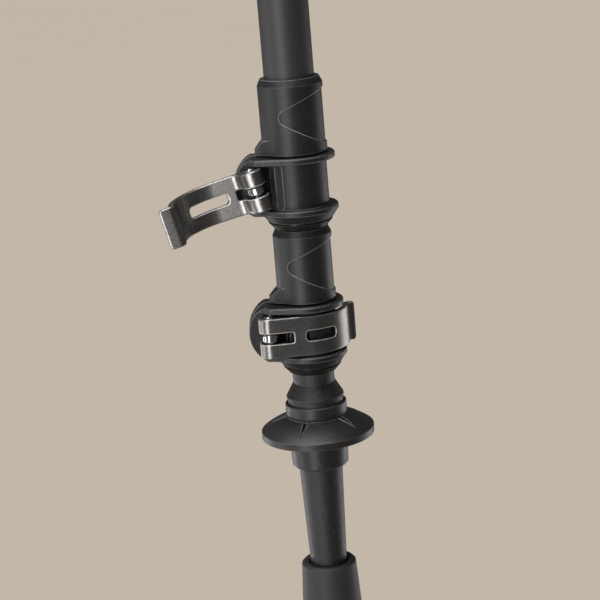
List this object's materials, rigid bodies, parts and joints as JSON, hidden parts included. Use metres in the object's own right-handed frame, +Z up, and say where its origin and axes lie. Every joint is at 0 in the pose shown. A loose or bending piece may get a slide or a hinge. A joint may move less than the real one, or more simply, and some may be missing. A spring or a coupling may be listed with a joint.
{
  "type": "trekking pole",
  "caption": "Three-section telescoping trekking pole with external lever clamps, basket, rubber foot, foam grip and wrist strap.",
  "frame": {"origin": "middle of the rubber foot's sole", "axes": "+Z up the pole to the grip; the clamp ears and levers' pivots are on the -X side and the levers wrap round the front, -Y"},
  "size_m": [0.1048, 0.052, 0.64],
  "materials": {
    "tube_black": "matte black anodised aluminium tube",
    "lock_plastic": "moulded glass-filled nylon, fine texture",
    "bush_plastic": "moulded acetal",
    "lever_metal": "shot-blasted die-cast zinc with bright worn edges",
    "bright_steel": "polished nickel-plated steel",
    "ferrule_plastic": "coarse-grained nylon",
    "basket_plastic": "moulded nylon",
    "foot_rubber": "moulded vulcanised rubber",
    "carbide": "sintered tungsten carbide",
    "grip_foam": "closed-cell EVA foam",
    "grip_head": "soft-touch moulded plastic",
    "strap_webbing": "woven nylon webbing"
  },
  "bodies": {
    "upper_section": {"upper_tube": "tube_black", "upper_clamp_body": "lock_plastic", "upper_clamp_bush": "bush_plastic", "upper_dial_washer": "bright_steel", "grip_ring": "grip_head", "grip_foam": "grip_foam", "grip_head": "grip_head", "strap_pin": "bright_steel"},
    "strap": {"wrist_strap": "strap_webbing"},
    "upper_bolt": {"upper_eye_bolt": "bright_steel"},
    "upper_lever": {"upper_lever": "lever_metal", "upper_lever_pin": "bright_steel"},
    "upper_dial": {"upper_tension_dial": "bush_plastic"},
    "middle_section": {"middle_tube": "tube_black", "middle_end_bush": "bush_plastic", "lower_clamp_body": "lock_plastic", "lower_clamp_bush": "bush_plastic", "lower_dial_washer": "bright_steel"},
    "lower_bolt": {"lower_eye_bolt": "bright_steel"},
    "lower_lever": {"lower_lever": "lever_metal", "lower_lever_pin": "bright_steel"},
    "lower_dial": {"lower_tension_dial": "bush_plastic"},
    "lower_section": {"lower_tube": "tube_black", "lower_end_bush": "bush_plastic", "ferrule": "ferrule_plastic", "point_holder": "bright_steel", "carbide_point": "carbide", "basket": "basket_plastic"},
    "foot": {"rubber_foot": "foot_rubber", "foot_disc": "bright_steel"}
  },
  "joints": [
    {"name": "middle_slide", "type": "slide", "parent": "upper_section", "child": "middle_section", "axis": [0, 0, -1], "range_m": [0, 0.31]},
    {"name": "lower_slide", "type": "slide", "parent": "middle_section", "child": "lower_section", "axis": [0, 0, -1], "range_m": [0, 0.33]},
    {"name": "upper_bolt_swivel", "type": "hinge", "parent": "upper_section", "child": "upper_bolt", "pos_m": [-0.015, 0, 0.1916], "axis": [0, 1, 0], "range_deg": [0, 13.3]},
    {"name": "upper_lever_hinge", "type": "hinge", "parent": "upper_bolt", "child": "upper_lever", "pos_m": [-0.015, -0.0102, 0.1916], "axis": [-0.2284, 0, 0.9736], "range_deg": [0, 176]},
    {"name": "upper_dial_turn", "type": "hinge", "parent": "upper_section", "child": "upper_dial", "pos_m": [-0.015, 0, 0.1916], "axis": [0, 1, 0], "range_deg": [-180, 180]},
    {"name": "lower_bolt_swivel", "type": "hinge", "parent": "middle_section", "child": "lower_bolt", "pos_m": [-0.0144, 0, 0.1371], "axis": [0, 1, 0], "range_deg": [-13.3, 0]},
    {"name": "lower_lever_hinge", "type": "hinge", "parent": "lower_bolt", "child": "lower_lever", "pos_m": [-0.0144, -0.0102, 0.1371], "axis": [0, 0, 1], "range_deg": [-176, 0]},
    {"name": "lower_dial_turn", "type": "hinge", "parent": "middle_section", "child": "lower_dial", "pos_m": [-0.0144, 0, 0.1371], "axis": [0, 1, 0], "range_deg": [-180, 180]},
    {"name": "foot_slide", "type": "slide", "parent": "lower_section", "child": "foot", "axis": [0, 0, -1], "range_m": [0, 0.036]},
    {"name": "strap_swing", "type": "hinge", "parent": "upper_section", "child": "strap", "pos_m": [0.011, 0, 0.623], "axis": [0, 1, 0], "range_deg": [-25, 0]}
  ],
  "couplings": [
    {"joint": "upper_bolt_swivel", "follows": "upper_lever_hinge", "ratio": 0.075},
    {"joint": "lower_bolt_swivel", "follows": "lower_lever_hinge", "ratio": 0.075}
  ]
}
